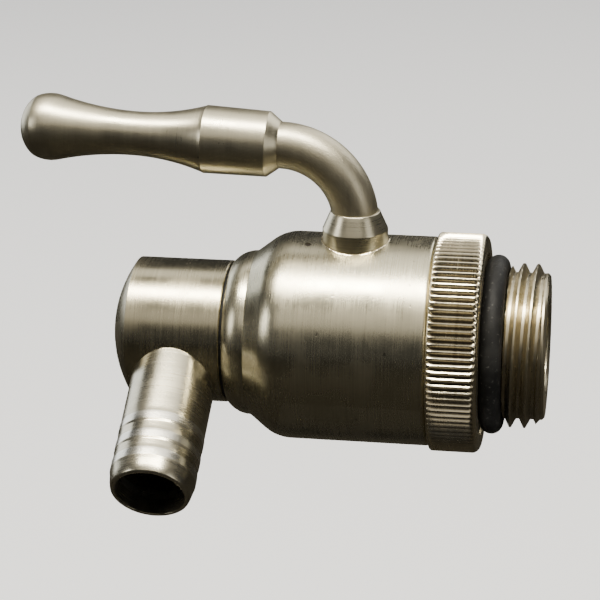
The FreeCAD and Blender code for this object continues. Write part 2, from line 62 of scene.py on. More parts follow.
BODY_LOW, BODY_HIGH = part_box("body_shell")
TAIL_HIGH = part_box("threaded_tail")[1]
HEAD_LOW, HEAD_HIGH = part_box("spout_head")
SEAL_LOW, SEAL_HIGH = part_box("tank_seal_ring")

BODY_RADIUS = BODY_HIGH.y / MM
FLANGE_RADIUS = TAIL_HIGH.y / MM
HEAD_RADIUS = HEAD_HIGH.y / MM
BODY_FRONT = (BODY_LOW.x - BALL_CENTRE.x) / MM
BODY_REAR = (BODY_HIGH.x - BALL_CENTRE.x) / MM
SEAT_FACE = -BALL_CENTRE.x / MM
TAIL_END = (TAIL_HIGH.x - BALL_CENTRE.x) / MM
HEAD_TIP = (HEAD_LOW.x - BALL_CENTRE.x) / MM

# Millimetres from the ball's centre, and for the hose tail from its root on the flow line.
SPINDLE_HOLE = 4.2
PUNCH_MARK = BALL_CENTRE + Vector((-5.7, -2.4, 0)) * MM
INLET_RADIUS = 6.0
FLOW_RADIUS = 4.5
SPIGOT_RADIUS = 6.25
GROOVE_FLOOR = 5.0
HOSE_RADIUS = 5.4
HOSE_BORE = 4.4
HOSE_SEAT = 5.2
BARB_START = 17.2
BARB_HALF = 0.6
BARB_PITCH = 2.75
GRIP_RISE = math.radians(2.6)
GRIP_AXIS = Vector((-math.cos(GRIP_RISE), 0.0, math.sin(GRIP_RISE)))
ROD_RADIUS = 2.95
BEND_RADIUS = 9.5
BEND_LOW = 15.87
GRIP_START = 9.5
THREAD_PITCH = 1.814
THREAD_MAJOR = 10.4775
THREAD_ROOT = 9.3155
THREAD_START = 19.45
THREAD_END = 24.1
KNURLS = 100
SHARP_DEGREES = 32


# ---------------------------------------------------------------- outlines

def arc_points(start, end, radius, turn, steps=14):
    """Points on the arc of the given radius between two points, bending left (1) or right (-1).

    The centre lies on the chord's perpendicular bisector, at sqrt(radius^2 - (chord/2)^2) from it.
    """
    start, end = np.array(start, float), np.array(end, float)
    chord = end - start
    half = np.linalg.norm(chord) / 2
    reach = math.sqrt(max(radius * radius - half * half, 0.0))
    side = np.array([-chord[1], chord[0]]) / (2 * half)
    centre = (start + end) / 2 + side * reach * turn
    first = math.atan2(*(start - centre)[::-1])
    last = math.atan2(*(end - centre)[::-1])
    sweep = (last - first) * turn % (2 * math.pi) * turn
    angles = first + sweep * np.linspace(0, 1, steps)
    return centre + radius * np.stack([np.cos(angles), np.sin(angles)], 1)


def eased(corners, ease=0.08, steps=4, longest=0.6):
    """An outline with every sharp corner rounded and long edges divided.

    A corner of turn t gets a curve tangent to both edges, which starts ease * tan(t/2) from it,
    held under 0.4 of the shorter edge. A corner is (along, radius) or (along, radius, own ease).
    """
    points = [np.array(corner[:2], float) for corner in corners]
    eases = [corner[2] if len(corner) > 2 else ease for corner in corners]
    path = [points[0]]
    for index in range(1, len(points) - 1):
        before, here, after = points[index - 1], points[index], points[index + 1]
        back, ahead = before - here, after - here
        back_length, ahead_length = np.linalg.norm(back), np.linalg.norm(ahead)
        back, ahead = back / back_length, ahead / ahead_length
        turn = math.pi - math.acos(float(np.clip(back @ ahead, -1, 1)))
        if turn < math.radians(12):
            path.append(here)
            continue
        trim = min(eases[index] * math.tan(turn / 2), 0.4 * min(back_length, ahead_length))
        start, end = here + back * trim, here + ahead * trim
        for part in np.linspace(0, 1, steps + 1):
            path.append((1 - part) ** 2 * start + 2 * part * (1 - part) * here + part ** 2 * end)
    path.append(points[-1])
    return divided(np.array(path), longest)


def divided(path, longest):
    """The same path with no edge longer than the given length."""
    out = [path[0]]
    for start, end in zip(path[:-1], path[1:]):
        count = max(1, math.ceil(np.linalg.norm(end - start) / longest))
        for part in range(1, count + 1):
            out.append(start + (end - start) * part / count)
    return np.array(out)


def groove(start, end, rim, floor):
    """The four corners of a square groove."""
    return [(start, rim), (start, floor), (end, floor), (end, rim)]


def corner_list(*runs):
    """One outline from corners and from arrays of arc points, each place only once."""
    corners = []
    for run in runs:
        for point in (run if isinstance(run, np.ndarray) else [run]):
            if not corners or math.dist(point[:2], corners[-1][:2]) > 0.004:
                corners.append(tuple(point))
    return corners


# ---------------------------------------------------------------- surfaces

def grid_mesh(name, points, close_along=False, keep_sharp=SHARP_DEGREES):
    """Mesh of a grid of points [along, round, xyz]: quads between neighbours on both parameters."""
    rows, columns = points.shape[:2]
    index = np.arange(rows * columns).reshape(rows, columns)
    index = np.concatenate([index, index[:, :1]], 1)
    if close_along:
        index = np.concatenate([index, index[:1]], 0)
    quads = np.stack([index[:-1, :-1], index[:-1, 1:], index[1:, 1:], index[1:, :-1]], -1)
    quads = quads.reshape(-1, 4)
    mesh = bpy.data.meshes.new(name)
    mesh.vertices.add(rows * columns)
    mesh.vertices.foreach_set("co", points.reshape(-1).astype(np.float32))
    mesh.loops.add(quads.size)
    mesh.loops.foreach_set("vertex_index", quads.reshape(-1).astype(np.int32))
    mesh.polygons.add(len(quads))
    mesh.polygons.foreach_set("loop_start", np.arange(0, quads.size, 4, dtype=np.int32))
    mesh.update(calc_edges=True)
    mesh.validate()
    finish_mesh(mesh, keep_sharp)
    piece = bpy.data.objects.new(name, mesh)
    bpy.context.scene.collection.objects.link(piece)
    return piece


def finish_mesh(mesh, keep_sharp):
    """Closes poles and seams, turns faces outwards and shades smooth with sharp edges kept."""
    work = bmesh.new()
    work.from_mesh(mesh)
    bmesh.ops.remove_doubles(work, verts=work.verts, dist=1e-7)
    bmesh.ops.dissolve_degenerate(work, edges=work.edges, dist=1e-8)
    bmesh.ops.recalc_face_normals(work, faces=work.faces)
    work.to_mesh(mesh)
    work.free()
    mesh.shade_smooth()
    mesh.set_sharp_from_angle(angle=math.radians(keep_sharp))


def across(axis):
    """Two unit directions square to an axis and to each other."""
    hint = UPRIGHT if abs(axis.z) < 0.9 else ALONG_FLOW
    first = (hint - axis * hint.dot(axis)).normalized()
    return first, axis.cross(first)


def turned(name, outline, origin, axis, segments=192, swell=None, close=True):
    """Surface of revolution, in metres, from an outline of (along, radius) in millimetres.

    A point is origin + along * axis + radius * (cos(angle) * u + sin(angle) * v). swell(along,
    radius, angle) may change the radius, as for a knurl or a helical thread.
    """
    along, radius = outline[:, :1], outline[:, 1:2]
    angle = np.linspace(0, 2 * np.pi, segments, endpoint=False)[None, :]
    reach = np.broadcast_to(radius, (len(outline), segments)).copy()
    if swell is not None:
        reach = swell(along, reach, angle)
    u, v = (np.array(direction) for direction in across(axis))
    spread = np.cos(angle)[..., None] * u + np.sin(angle)[..., None] * v
    points = np.array(origin) + MM * (along[..., None] * np.array(axis) + reach[..., None] * spread)
    return grid_mesh(name, points, close_along=close)


def swept_tube(name, path, radius, segments=72):
    """Round tube along a path in the XZ plane.

    A point is path + radius * (cos(angle) * level + sin(angle) * side), where side is square to
    both the path and the level direction.
    """
    tangent = np.gradient(path, axis=0)
    tangent /= np.linalg.norm(tangent, axis=1, keepdims=True)
    level = np.array([0.0, 1.0, 0.0])
    side = np.cross(tangent, level)
    angle = np.linspace(0, 2 * np.pi, segments, endpoint=False)[None, :, None]
    rims = radius * (np.cos(angle) * level + np.sin(angle) * side[:, None, :])
    points = MM * (path[:, None, :] + rims) + np.array([BALL_CENTRE.x, 0, 0])
    return grid_mesh(name, points)


def bored(piece, origin, axis, radius, start, end):
    """Cuts a round hole through a piece, from start to end along the axis, in millimetres."""
    outline = np.array([[start, 0.0], [start, radius], [end, radius], [end, 0.0]])
    drill = turned("drill", outline, origin, axis, segments=96, close=False)
    cutter = piece.modifiers.new("hole", "BOOLEAN")
    cutter.operation = "DIFFERENCE"
    cutter.solver = "EXACT"
    cutter.object = drill
    bpy.context.view_layer.update()
    graph = bpy.context.evaluated_depsgraph_get()
    mesh = bpy.data.meshes.new_from_object(piece.evaluated_get(graph))
    piece.modifiers.clear()
    piece.data = mesh
    mesh.shade_smooth()
    mesh.set_sharp_from_angle(angle=math.radians(SHARP_DEGREES))
    bpy.data.objects.remove(drill)


# ---------------------------------------------------------------- shader groups

SURFACE_OUTPUTS = [("Color", "NodeSocketColor"), ("Roughness", "NodeSocketFloat"),
                   ("Height", "NodeSocketFloat")]


def new_group(name, inputs, outputs):
    """An empty node group, with the sockets that come in and go out of it."""
    group = bpy.data.node_groups.new(name, "ShaderNodeTree")
    for label, kind, start in inputs:
        socket = group.interface.new_socket(name=label, in_out="INPUT", socket_type=kind)
        if start is not None:
            socket.default_value = start
    for label, kind in outputs:
        group.interface.new_socket(name=label, in_out="OUTPUT", socket_type=kind)
    entry = group.nodes.new("NodeGroupInput")
    leave = group.nodes.new("NodeGroupOutput")
    return group, entry.outputs, leave.inputs


def colour_layer(name, label, tone):
    """A group that lays a second tone over a colour, and the parts of its place."""
    group, given, gives = new_group(name, [
        ("Vector", "NodeSocketVector", None),
        ("Color", "NodeSocketColor", (0.6, 0.6, 0.6, 1)),
        (label, "NodeSocketColor", tone),
    ], [("Color", "NodeSocketColor")])
    split = group.nodes.new("ShaderNodeSeparateXYZ")
    group.links.new(given["Vector"], split.inputs[0])
    return group, given, gives, split.outputs


def noise(tree, vector, scale, detail=3.0, rough=0.55):
    node = tree.nodes.new("ShaderNodeTexNoise")
    node.inputs["Detail"].default_value = detail
    node.inputs["Roughness"].default_value = rough
    plug(tree, scale, node.inputs["Scale"])
    tree.links.new(vector, node.inputs["Vector"])
    return node.outputs["Fac"]


def plug(tree, value, socket):
    """Links a socket, or sets a plain number or colour."""
    if isinstance(value, bpy.types.NodeSocket):
        tree.links.new(value, socket)
    else:
        socket.default_value = value


def maths(tree, operation, first, second=0.0, third=0.0):
    node = tree.nodes.new("ShaderNodeMath")
    node.operation = operation
    for socket, value in zip(node.inputs, (first, second, third)):
        plug(tree, value, socket)
    return node.outputs[0]


def product(tree, first, *others):
    """All the values multiplied, in the order given."""
    for other in others:
        first = maths(tree, "MULTIPLY", first, other)
    return first


def remap(tree, value, low, high, to_low=0.0, to_high=1.0):
    """The value carried from one range to another, held at both ends."""
    node = tree.nodes.new("ShaderNodeMapRange")
    plug(tree, value, node.inputs["Value"])
    plug(tree, low, node.inputs["From Min"])
    plug(tree, high, node.inputs["From Max"])
    plug(tree, to_low, node.inputs["To Min"])
    plug(tree, to_high, node.inputs["To Max"])
    return node.outputs["Result"]


def blend_colour(tree, factor, first, second, kind="MIX"):
    node = tree.nodes.new("ShaderNodeMix")
    node.data_type = "RGBA"
    node.blend_type = kind
    plug(tree, factor, node.inputs["Factor"])
    plug(tree, first, node.inputs["A"])
    plug(tree, second, node.inputs["B"])
    return node.outputs["Result"]


def stretched(tree, vector, scale):
    node = tree.nodes.new("ShaderNodeVectorMath")
    node.operation = "MULTIPLY"
    tree.links.new(vector, node.inputs[0])
    plug(tree, scale, node.inputs[1])
    return node.outputs[0]


def build_metal_group():
    """Worked steel: tool lines along one direction, cloudy tone, pits and fine scratches.

    The vector comes in with the lines across X. Lines are noise squeezed along X, clouds are broad
    noise, and pits are the rare low values of a fine noise.
    """
    group, given, gives = new_group("worked_steel", [
        ("Vector", "NodeSocketVector", None),
        ("Tone", "NodeSocketColor", (0.6, 0.58, 0.52, 1)),
        ("Stain", "NodeSocketColor", (0.4, 0.36, 0.28, 1)),
        ("Line Scale", "NodeSocketFloat", 3000.0),
        ("Line Depth", "NodeSocketFloat", 1.0),
        ("Line Tone", "NodeSocketFloat", 0.7),
        ("Grain Scale", "NodeSocketFloat", 5000.0),
        ("Grain Depth", "NodeSocketFloat", 0.3),
        ("Cloud", "NodeSocketFloat", 0.5),
        ("Roughness Low", "NodeSocketFloat", 0.25),
        ("Roughness High", "NodeSocketFloat", 0.42),
        ("Pits", "NodeSocketFloat", 0.3),
    ], SURFACE_OUTPUTS)
    vector = given["Vector"]
    lines_place = stretched(group, vector, (1.0, 0.012, 0.012))
    lines = noise(group, lines_place, given["Line Scale"], 4.0, 0.7)
    broad_place = stretched(group, vector, (0.25, 0.01, 0.01))
    broad = noise(group, broad_place, given["Line Scale"], 2.0, 0.5)
    grain = noise(group, vector, given["Grain Scale"], 2.0, 0.6)
    cloud = noise(group, vector, 190.0, 4.0, 0.6)
    pits_noise = noise(group, vector, 1500.0, 1.0, 0.5)
    pits = product(group, remap(group, pits_noise, 0.24, 0.2), given["Pits"])
    line_mix = maths(group, "ADD", product(group, lines, 0.75), product(group, broad, 0.25))
    centred = maths(group, "SUBTRACT", line_mix, 0.5)
    toned = maths(group, "MULTIPLY_ADD", centred, given["Line Tone"], 1.0)
    shade = blend_colour(group, 1.0, given["Tone"], toned, "MULTIPLY")
    stain_mask = product(group, remap(group, cloud, 0.42, 0.72), given["Cloud"])
    shade = blend_colour(group, stain_mask, shade, given["Stain"])
    shade = blend_colour(group, pits, shade, (0.05, 0.045, 0.035, 1))
    group.links.new(shade, gives["Color"])
    wear = maths(group, "ADD", product(group, lines, 0.35), product(group, cloud, 0.65))
    rough = remap(group, wear, 0.35, 0.65, given["Roughness Low"], given["Roughness High"])
    group.links.new(rough, gives["Roughness"])
    height = product(group, line_mix, given["Line Depth"])
    height = maths(group, "MULTIPLY_ADD", grain, given["Grain Depth"], height)
    height = maths(group, "MULTIPLY_ADD", pits, -1.5, height)
    group.links.new(height, gives["Height"])
    return group


def build_valley_shade_group():
    """Painted shade: darkens a colour in the knurl's valleys, where shade falls between the teeth.

    They lie where the distance from the flow line falls below the crests, between the two rims.
    """
    group, given, gives, place = colour_layer("knurl_valley_painted_shade", "Valley Shade Tone",
                                              (0.03, 0.02, 0.015, 1))
    across_y = maths(group, "POWER", place["Y"], 2.0)
    across_z = maths(group, "POWER", place["Z"], 2.0)
    reach = maths(group, "SQRT", maths(group, "ADD", across_y, across_z))
    deep = remap(group, reach, (FLANGE_RADIUS - 0.12) * MM, (FLANGE_RADIUS - 0.3) * MM)
    middle = ((BODY_REAR + SEAT_FACE) / 2 - SEAT_FACE) * MM
    away = maths(group, "ABSOLUTE", maths(group, "SUBTRACT", place["X"], middle))
    between = remap(group, away, 2.8 * MM, 2.6 * MM)
    # The painted shade is strongest below the crests and between the two rims.
    mask = product(group, deep, between, 0.7)
    shade = blend_colour(group, mask, given["Color"], given["Valley Shade Tone"])
    group.links.new(shade, gives["Color"])
    return group


def build_barb_highlight_group():
    """Painted highlight: lightens a colour on evenly spaced bands along X, on the three barbs of the hose tail."""
    group, given, gives, place = colour_layer("barb_painted_highlight", "Band Highlight Tone", (0.8, 0.78, 0.7, 1))
    past = maths(group, "SUBTRACT", place["X"], BARB_START * MM)
    along = maths(group, "DIVIDE", past, BARB_PITCH * MM)
    offset = maths(group, "SUBTRACT", maths(group, "FRACT", along), 0.2)
    inside = remap(group, maths(group, "ABSOLUTE", offset), 0.24, 0.18)
    first = maths(group, "GREATER_THAN", along, -0.1)
    last = maths(group, "LESS_THAN", along, 2.6)
    # The mask is the painted highlight on the three barbs.
    mask = product(group, inside, first, last, 0.7)
    shade = blend_colour(group, mask, given["Color"], given["Band Highlight Tone"])
    group.links.new(shade, gives["Color"])
    return group


METAL = build_metal_group()
VALLEY_SHADE = build_valley_shade_group()
BARB_HIGHLIGHT = build_barb_highlight_group()


def steel(name, tone, stain, axis=ALONG_FLOW, bump=0.12, over=None, **values):
    """Steel worked in lines round an axis. The Mapping node turns that axis onto X."""
    material = bpy.data.materials.new(name)
    material.use_nodes = True
    tree = material.node_tree
    shader = tree.nodes["Principled BSDF"]
    shader.inputs["Metallic"].default_value = 1.0
    place = tree.nodes.new("ShaderNodeTexCoord")
    turn = tree.nodes.new("ShaderNodeMapping")
    turn.vector_type = "TEXTURE"
    turn.inputs["Rotation"].default_value = axis.to_track_quat("X", "Z").to_euler()
    tree.links.new(place.outputs["Object"], turn.inputs["Vector"])
    finish = tree.nodes.new("ShaderNodeGroup")
    finish.node_tree = METAL
    tree.links.new(turn.outputs["Vector"], finish.inputs["Vector"])
    finish.inputs["Tone"].default_value = (*tone, 1)
    finish.inputs["Stain"].default_value = (*stain, 1)
    for label, value in values.items():
        finish.inputs[label.replace("_", " ")].default_value = value
    relief = tree.nodes.new("ShaderNodeBump")
    relief.inputs["Strength"].default_value = bump
    relief.inputs["Distance"].default_value = 0.05 * MM
    tree.links.new(finish.outputs["Height"], relief.inputs["Height"])
    colour = finish.outputs["Color"]
    if over is not None:
        layer = tree.nodes.new("ShaderNodeGroup")
        layer.node_tree = over
        tree.links.new(turn.outputs["Vector"], layer.inputs["Vector"])
        tree.links.new(colour, layer.inputs["Color"])
        colour = layer.outputs["Color"]
    tree.links.new(colour, shader.inputs["Base Color"])
    tree.links.new(finish.outputs["Roughness"], shader.inputs["Roughness"])
    tree.links.new(relief.outputs["Normal"], shader.inputs["Normal"])
    return material


def build_soft_group():
    """Moulded rubber or plastic: fine grain, and pale dust on it where a broad noise is high."""
    group, given, gives = new_group("moulded_face", [
        ("Vector", "NodeSocketVector", None),
        ("Tone", "NodeSocketColor", (0.02, 0.02, 0.02, 1)),
        ("Dust Tone", "NodeSocketColor", (0.3, 0.29, 0.26, 1)),
        ("Dust", "NodeSocketFloat", 0.3),
        ("Grain Scale", "NodeSocketFloat", 4000.0),
    ], SURFACE_OUTPUTS)
    grain = noise(group, given["Vector"], given["Grain Scale"], 3.0)
    specks = noise(group, given["Vector"], 1700.0, 2.0, 0.7)
    patches = noise(group, given["Vector"], 260.0, 3.0, 0.6)
    dusty = product(group, remap(group, specks, 0.62, 0.7), given["Dust"])
    film = product(group, given["Dust"], 0.35, remap(group, patches, 0.45, 0.75))
    mask = maths(group, "MAXIMUM", dusty, film)
    group.links.new(blend_colour(group, mask, given["Tone"], given["Dust Tone"]), gives["Color"])
    group.links.new(remap(group, grain, 0.3, 0.7, 0.5, 0.66), gives["Roughness"])
    group.links.new(grain, gives["Height"])
    return group


MOULDED = build_soft_group()


def moulded(name, tone, dust, bump=0.1):
    """Rubber, plastic or the painted shade in the punch mark, with a little dust on it."""
    material = bpy.data.materials.new(name)
    material.use_nodes = True
    tree = material.node_tree
    shader = tree.nodes["Principled BSDF"]
    place = tree.nodes.new("ShaderNodeTexCoord")
    face = tree.nodes.new("ShaderNodeGroup")
    face.node_tree = MOULDED
    tree.links.new(place.outputs["Object"], face.inputs["Vector"])
    face.inputs["Tone"].default_value = (*tone, 1)
    face.inputs["Dust"].default_value = dust
    shader.inputs["Specular IOR Level"].default_value = 0.16
    relief = tree.nodes.new("ShaderNodeBump")
    relief.inputs["Strength"].default_value = bump
    relief.inputs["Distance"].default_value = 0.05 * MM
    tree.links.new(face.outputs["Height"], relief.inputs["Height"])
    tree.links.new(face.outputs["Color"], shader.inputs["Base Color"])
    tree.links.new(face.outputs["Roughness"], shader.inputs["Roughness"])
    tree.links.new(relief.outputs["Normal"], shader.inputs["Normal"])
    return material


OLIVE = (0.46, 0.42, 0.295)
WARM = (0.57, 0.53, 0.385)
BROWN = (0.30, 0.25, 0.16)

body_finish = steel(
    "turned_body_steel", WARM, (0.42, 0.37, 0.27), bump=0.22, Line_Scale=7000.0, Cloud=0.3,
    Roughness_Low=0.2, Roughness_High=0.34, Pits=0.5)
head_finish = steel(
    "satin_head_steel", OLIVE, (0.42, 0.37, 0.25), bump=0.1, Line_Scale=5600.0, Line_Depth=0.6,
    Cloud=0.4, Roughness_Low=0.2, Roughness_High=0.32, Pits=0.25)
tail_finish = steel(
    "threaded_tail_steel", (0.52, 0.47, 0.34), BROWN, bump=0.12, Line_Scale=5200.0, Cloud=0.7,
    Roughness_Low=0.22, Roughness_High=0.4, Pits=0.6)
# The knurled nickel is darkened in its valleys by painted shade.
knurl_finish = steel(
    "knurled_nickel", (0.74, 0.67, 0.49), (0.50, 0.40, 0.23), bump=0.08, over=VALLEY_SHADE,
    Line_Scale=3000.0, Cloud=0.5, Roughness_Low=0.18, Roughness_High=0.3, Pits=0.3)
collar_finish = steel(
    "turned_collar_steel", (0.54, 0.50, 0.37), BROWN, UPRIGHT, bump=0.1, Line_Scale=6000.0,
    Cloud=0.3, Roughness_Low=0.24, Roughness_High=0.34, Pits=0.1)
rod_finish = steel(
    "blasted_rod_steel", (0.47, 0.43, 0.32), (0.34, 0.30, 0.21), bump=0.4, Line_Depth=0.05,
    Line_Tone=0.1, Grain_Scale=5200.0, Grain_Depth=1.4, Cloud=0.45, Roughness_Low=0.34,
    Roughness_High=0.48, Pits=0.3)
grip_finish = steel(
    "satin_grip_steel", (0.51, 0.47, 0.35), (0.38, 0.34, 0.24), GRIP_AXIS, bump=0.25,
    Line_Scale=5200.0, Line_Depth=0.2, Line_Tone=0.25, Grain_Scale=4600.0, Grain_Depth=0.9,
    Cloud=0.4, Roughness_Low=0.27, Roughness_High=0.4, Pits=0.4)
# The spout steel carries a painted highlight on its three barbs.
spout_finish = steel(
    "satin_spout_steel", (0.55, 0.51, 0.39), (0.40, 0.36, 0.26), SPOUT_AXIS, bump=0.12,
    over=BARB_HIGHLIGHT, Line_Scale=6000.0, Line_Depth=0.4, Line_Tone=0.4, Grain_Depth=0.4, Cloud=0.35,
    Roughness_Low=0.2, Roughness_High=0.33, Pits=0.3)
inner_finish = steel("machined_inner_steel", (0.66, 0.66, 0.65), (0.5, 0.5, 0.48), Cloud=0.2)
seal_finish = moulded("black_seal_rubber", (0.005, 0.005, 0.005), 0.10)
# Near-black painted shade for the bottom of the punch mark.
hole_shade_finish = moulded("painted_hole_shade", (0.012, 0.009, 0.006), 0.05)
ptfe_finish = moulded("white_ptfe", (0.86, 0.86, 0.84), 0.0, bump=0.03)


def give(piece, finish):
    """Gives a piece one material over all of it."""
    piece.data.materials.clear()
    piece.data.materials.append(finish)


def stand_for(piece, finish, slot, body, *nodes):
    """A finished piece gets its material and rides on a body in place of CAD nodes."""
    give(piece, finish)
    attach(piece, body)
    if nodes:
        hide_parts(*nodes)


# ---------------------------------------------------------------- body

def make_body():
    """Turned shell: neck, step, 38 degree cone, dome arc, cylinder and rounded rear edge."""
    outline = eased(corner_list(
        (BODY_FRONT + 0.4, 6.3),
        (BODY_FRONT, 6.7),
        (BODY_FRONT, 9.2),
        arc_points((BODY_FRONT + 0.08, 9.36), (-13.1, 10.65), 3.58, -1),
        (-12.9, 10.62),
        (-12.84, 10.76),
        (-12.7, 10.86),
        arc_points((-10.9, 12.25), (-7.5, BODY_RADIUS), 5.43, -1, 20),
        (BODY_REAR - 0.62, BODY_RADIUS),
        arc_points((BODY_REAR - 0.6, BODY_RADIUS), (BODY_REAR, BODY_RADIUS - 0.6), 0.6, -1, 8),
        (BODY_REAR, 10.05),
        (5.6, 10.05),
        (5.6, 8.1),
        (-7.6, 8.1),
        (-7.6, 5.2),
        (-8.9, 5.2),
        (-8.9, 6.3),
        *groove(-10.0, -11.4, 6.3, 7.35),
        (BODY_FRONT + 0.42, 6.3),
    ), ease=0.05)
    body = turned("turned_body_shell", outline, BALL_CENTRE, ALONG_FLOW, 256)
    bored(body, BALL_CENTRE, UPRIGHT, SPINDLE_HOLE, 2.0, 15.0)
    bored(body, PUNCH_MARK, UPRIGHT, 0.42, 12.85, 15.0)
    stand_for(body, body_finish, "body_steel", "valve_body", "body_shell")


def make_hole_burr():
    """Ragged bright rim of the spindle hole, lying on the body's round top.

    It is a thin strip on a grid of (angle, width). Its radius wanders by summed sines, and its
    height is the body's own surface, sqrt(R^2 - y^2), plus a little lift where it stands up.
    """
    angle = np.linspace(0, 2 * np.pi, 360, endpoint=False)
    rng = np.random.default_rng(7)
    ragged = sum(rng.uniform(0.4, 1.0) / k ** 0.5 * np.sin(k * angle + rng.uniform(0, 6.28))
                 for k in (5, 11, 23, 37, 53, 71))
    ragged = ragged / np.abs(ragged).max()
    section = [(4.19, -0.2, 0.0), (SPINDLE_HOLE, 0.02, 1.0), (4.28, 0.06, 0.9),
               (4.38, 0.02, 0.5), (4.5, -0.06, 0.0)]
    rows = []
    for radius, lift, share in section:
        reach = radius + 0.1 * share * np.maximum(ragged, -0.2)
        x, y = reach * np.cos(angle), reach * np.sin(angle)
        z = np.sqrt(BODY_RADIUS ** 2 - y ** 2) + lift + 0.1 * share * ragged
        rows.append(np.stack([x, y, z], 1))
    rows.append(rows[0] * np.array([1.0, 1.0, 0.985]))
    points = np.array(rows) * MM + np.array(BALL_CENTRE)
    burr = grid_mesh("spindle_hole_burr", points, close_along=True, keep_sharp=60)
    stand_for(burr, knurl_finish, "body_steel", "valve_body")


def make_punch_mark():
    """Painted shade at the bottom of the small punch mark: a near-black shallow disc inside the hole."""
    foot = PUNCH_MARK + UPRIGHT * 13.02 * MM
    outline = np.array([[0.0, 0.0], [0.03, 0.2], [0.1, 0.4], [0.02, 0.41], [-0.05, 0.4],
                        [-0.06, 0.0]])
    shade_disc = turned("punch_mark_painted_shade", outline, foot, UPRIGHT, 32, close=False)
    stand_for(shade_disc, hole_shade_finish, "black_rubber", "valve_body")


# ---------------------------------------------------------------- tail

def knurl_swell(along, reach, angle):
    """Straight knurl: the radius dips by a rounded V between crests, fading out at both rims."""
    wave = np.abs(((angle * KNURLS / (2 * np.pi)) % 1.0) - 0.5) * 2
    dip = np.clip(1.25 * wave ** 1.3 - 0.12, 0, 1) * 0.42
    front = np.clip((along - BODY_REAR - 0.18) / 0.25, 0, 1)
    rear = np.clip((SEAT_FACE - 0.3 - along) / 0.5, 0, 1)
    rim = np.clip((reach - (FLANGE_RADIUS - 0.95)) / 0.35, 0, 1)
    return reach - dip * (front * rear) * rim


def make_flange():
    """Knurled ring with a small front rounding, a larger rear one and a recess for the O-ring."""
    outline = eased(corner_list(
        (BODY_REAR, 10.0),
        arc_points((BODY_REAR, FLANGE_RADIUS - 0.35), (BODY_REAR + 0.35, FLANGE_RADIUS),
                   0.35, -1, 8),
        arc_points((SEAT_FACE - 1.0, FLANGE_RADIUS), (SEAT_FACE, FLANGE_RADIUS - 1.0),
                   1.0, -1, 12),
        (SEAT_FACE, 11.6),
        (SEAT_FACE - 0.4, 11.55),
        (SEAT_FACE - 0.4, 8.6),
    ), ease=0.06, longest=0.5)
    flange = turned("knurled_flange", outline, BALL_CENTRE, ALONG_FLOW, KNURLS * 12, knurl_swell,
                    close=False)
    stand_for(flange, knurl_finish, "tail_steel", "valve_body", "threaded_tail")


def thread_swell(along, reach, angle):
    """Right-hand pipe thread on the stretch beyond the O-ring.

    The height over the root is a 55 degree ridge about along = crest + pitch * turn, with rounded
    crest and root. The crest is cut down over the first half millimetre and over the lead.
    """
    lead = 23.15
    top_crest = 21.15
    turn = angle / (2 * np.pi)
    phase = ((along - top_crest + THREAD_PITCH * turn) / THREAD_PITCH) % 1.0
    distance = np.minimum(phase, 1 - phase) * THREAD_PITCH
    depth = THREAD_MAJOR - THREAD_ROOT
    ridge = depth - np.maximum(distance - 0.12, 0) / math.tan(math.radians(27.5))
    ridge = np.clip(ridge, 0, depth)
    limit = depth * np.clip((along - THREAD_START) / 0.45, 0, 1)
    limit = limit * np.clip((THREAD_END - along) / (THREAD_END - lead), 0, 1)
    on_thread = ((along > THREAD_START - 0.01) & (along < THREAD_END)
                 & (reach > THREAD_ROOT - 0.05))
    return np.where(on_thread, reach + np.minimum(ridge, limit), reach)


def make_thread():
    """Neck under the O-ring, threaded stretch and plain pilot, open through the middle."""
    along = np.arange(THREAD_START + 0.01, THREAD_END, 0.045)
    outline = np.concatenate([
        eased([(SEAT_FACE - 0.4, 8.2), (SEAT_FACE - 0.4, 8.62), (THREAD_START - 0.15, 8.62),
               (THREAD_START, 8.75), (THREAD_START, THREAD_ROOT)]),
        np.stack([along, np.full(len(along), THREAD_ROOT)], 1),
        eased([(THREAD_END + 0.02, 9.34), (TAIL_END - 0.3, 9.34), (TAIL_END, 9.05),
               (TAIL_END, INLET_RADIUS + 0.3), (TAIL_END - 0.3, INLET_RADIUS),
               (11.0, INLET_RADIUS), (9.0, FLOW_RADIUS), (7.6, FLOW_RADIUS), (7.6, 8.03),
               (5.63, 8.03), (5.63, 9.6), (6.03, 10.0), (BODY_REAR, 10.0), (BODY_REAR, 8.2)]),
    ])
    tail = turned("pipe_thread_tail", outline, BALL_CENTRE, ALONG_FLOW, 288, thread_swell)
    stand_for(tail, tail_finish, "tail_steel", "valve_body", "threaded_tail")


def make_tank_seal():
    """O-ring: a round section carried round the flow line."""
    middle = (SEAL_HIGH.x + SEAL_LOW.x) / 2
    thick = (SEAL_HIGH.x - SEAL_LOW.x) / 2 / MM
    centre = SEAL_HIGH.y / MM - thick
    bend = np.linspace(0, 2 * np.pi, 48, endpoint=False)
    outline = np.stack([thick * np.cos(bend), centre + thick * np.sin(bend)], 1)
    seal = turned("tank_seal", outline, Vector((middle, 0, 0)), ALONG_FLOW, 192)
    stand_for(seal, seal_finish, "black_rubber", "valve_body", "tank_seal_ring")


# ---------------------------------------------------------------- lever

def make_spindle():
    """Spindle with its flange, seal grooves, collar cylinder and cone."""
    outline = eased([
        (8.15, 0.0), (8.15, 4.8), (9.45, 4.8), (9.45, 4.15),
        *groove(10.2, 11.1, 4.15, 3.3), *groove(11.4, 12.3, 4.15, 3.3),
        (14.85, 4.15, 0.2), (17.2, 3.12, 0.15), (17.2, 2.0), (14.0, 2.0), (14.0, 0.0),
    ], ease=0.05, longest=0.4)
    spindle = turned("collared_spindle", outline, BALL_CENTRE, UPRIGHT, 160, close=False)
    stand_for(spindle, collar_finish, "body_steel", "lever", "spindle")


